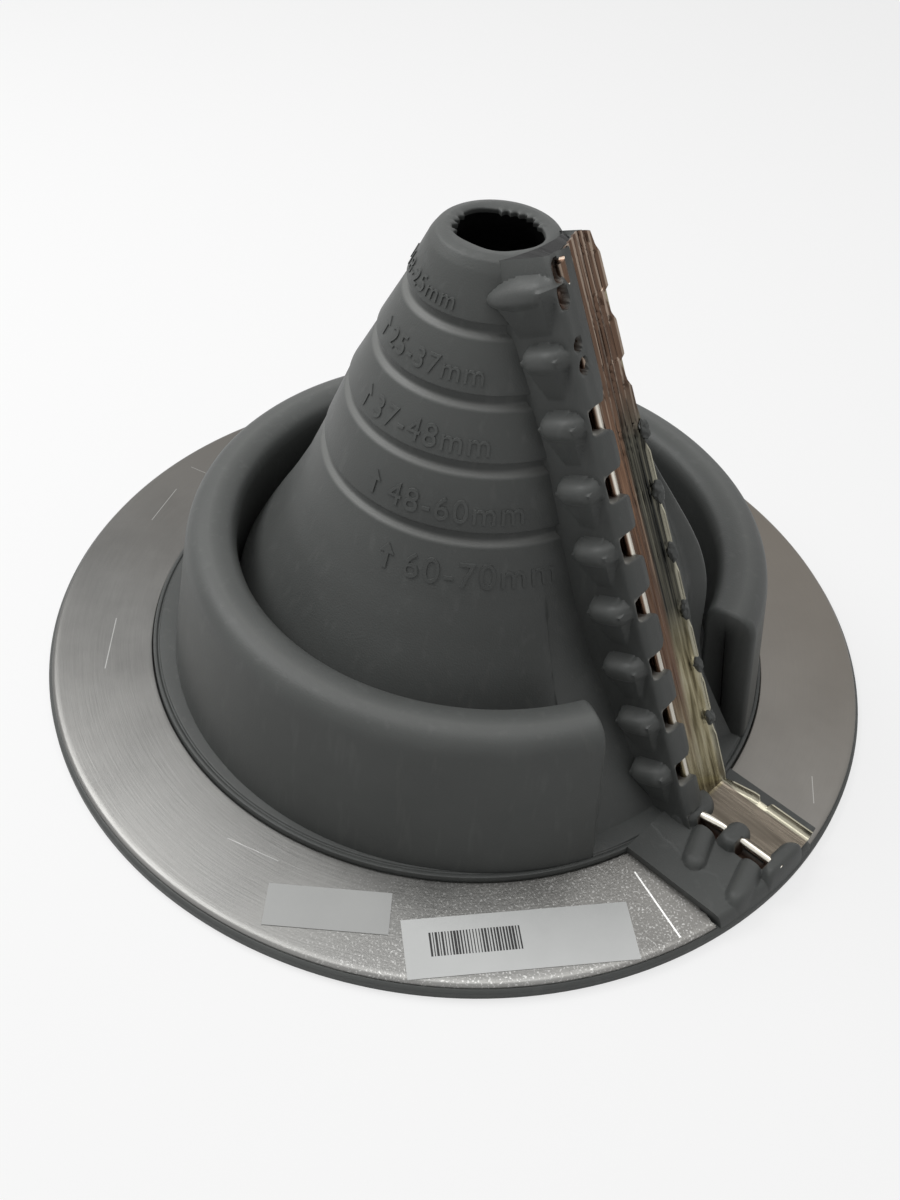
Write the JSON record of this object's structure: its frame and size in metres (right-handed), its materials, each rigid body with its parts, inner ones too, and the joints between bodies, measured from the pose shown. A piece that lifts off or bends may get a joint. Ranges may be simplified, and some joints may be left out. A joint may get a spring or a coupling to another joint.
{
  "type": "pipe flashing boot",
  "caption": "Split rubber cone on a round metal-faced flange that seals a roof around a pipe; it opens along a lugged seam to go round a fitted pipe.",
  "frame": {"origin": "centre of the underside of the flange", "axes": "+Z along the pipe, up from the roof; the split lies on +X, in the XZ plane; the lugs are on its -Y side"},
  "size_m": [0.203, 0.203, 0.1214],
  "materials": {
    "rubber": "matt moulded",
    "ring_metal": "brushed in circles",
    "seam_metal": "rolled strip",
    "paper": "printed paper label"
  },
  "bodies": {
    "root": {"rubber_boot": "rubber", "base_ring": "ring_metal", "seam_channel": "seam_metal", "seam_insert": "seam_metal", "large_label": "paper", "small_label": "paper"}
  },
  "joints": []
}
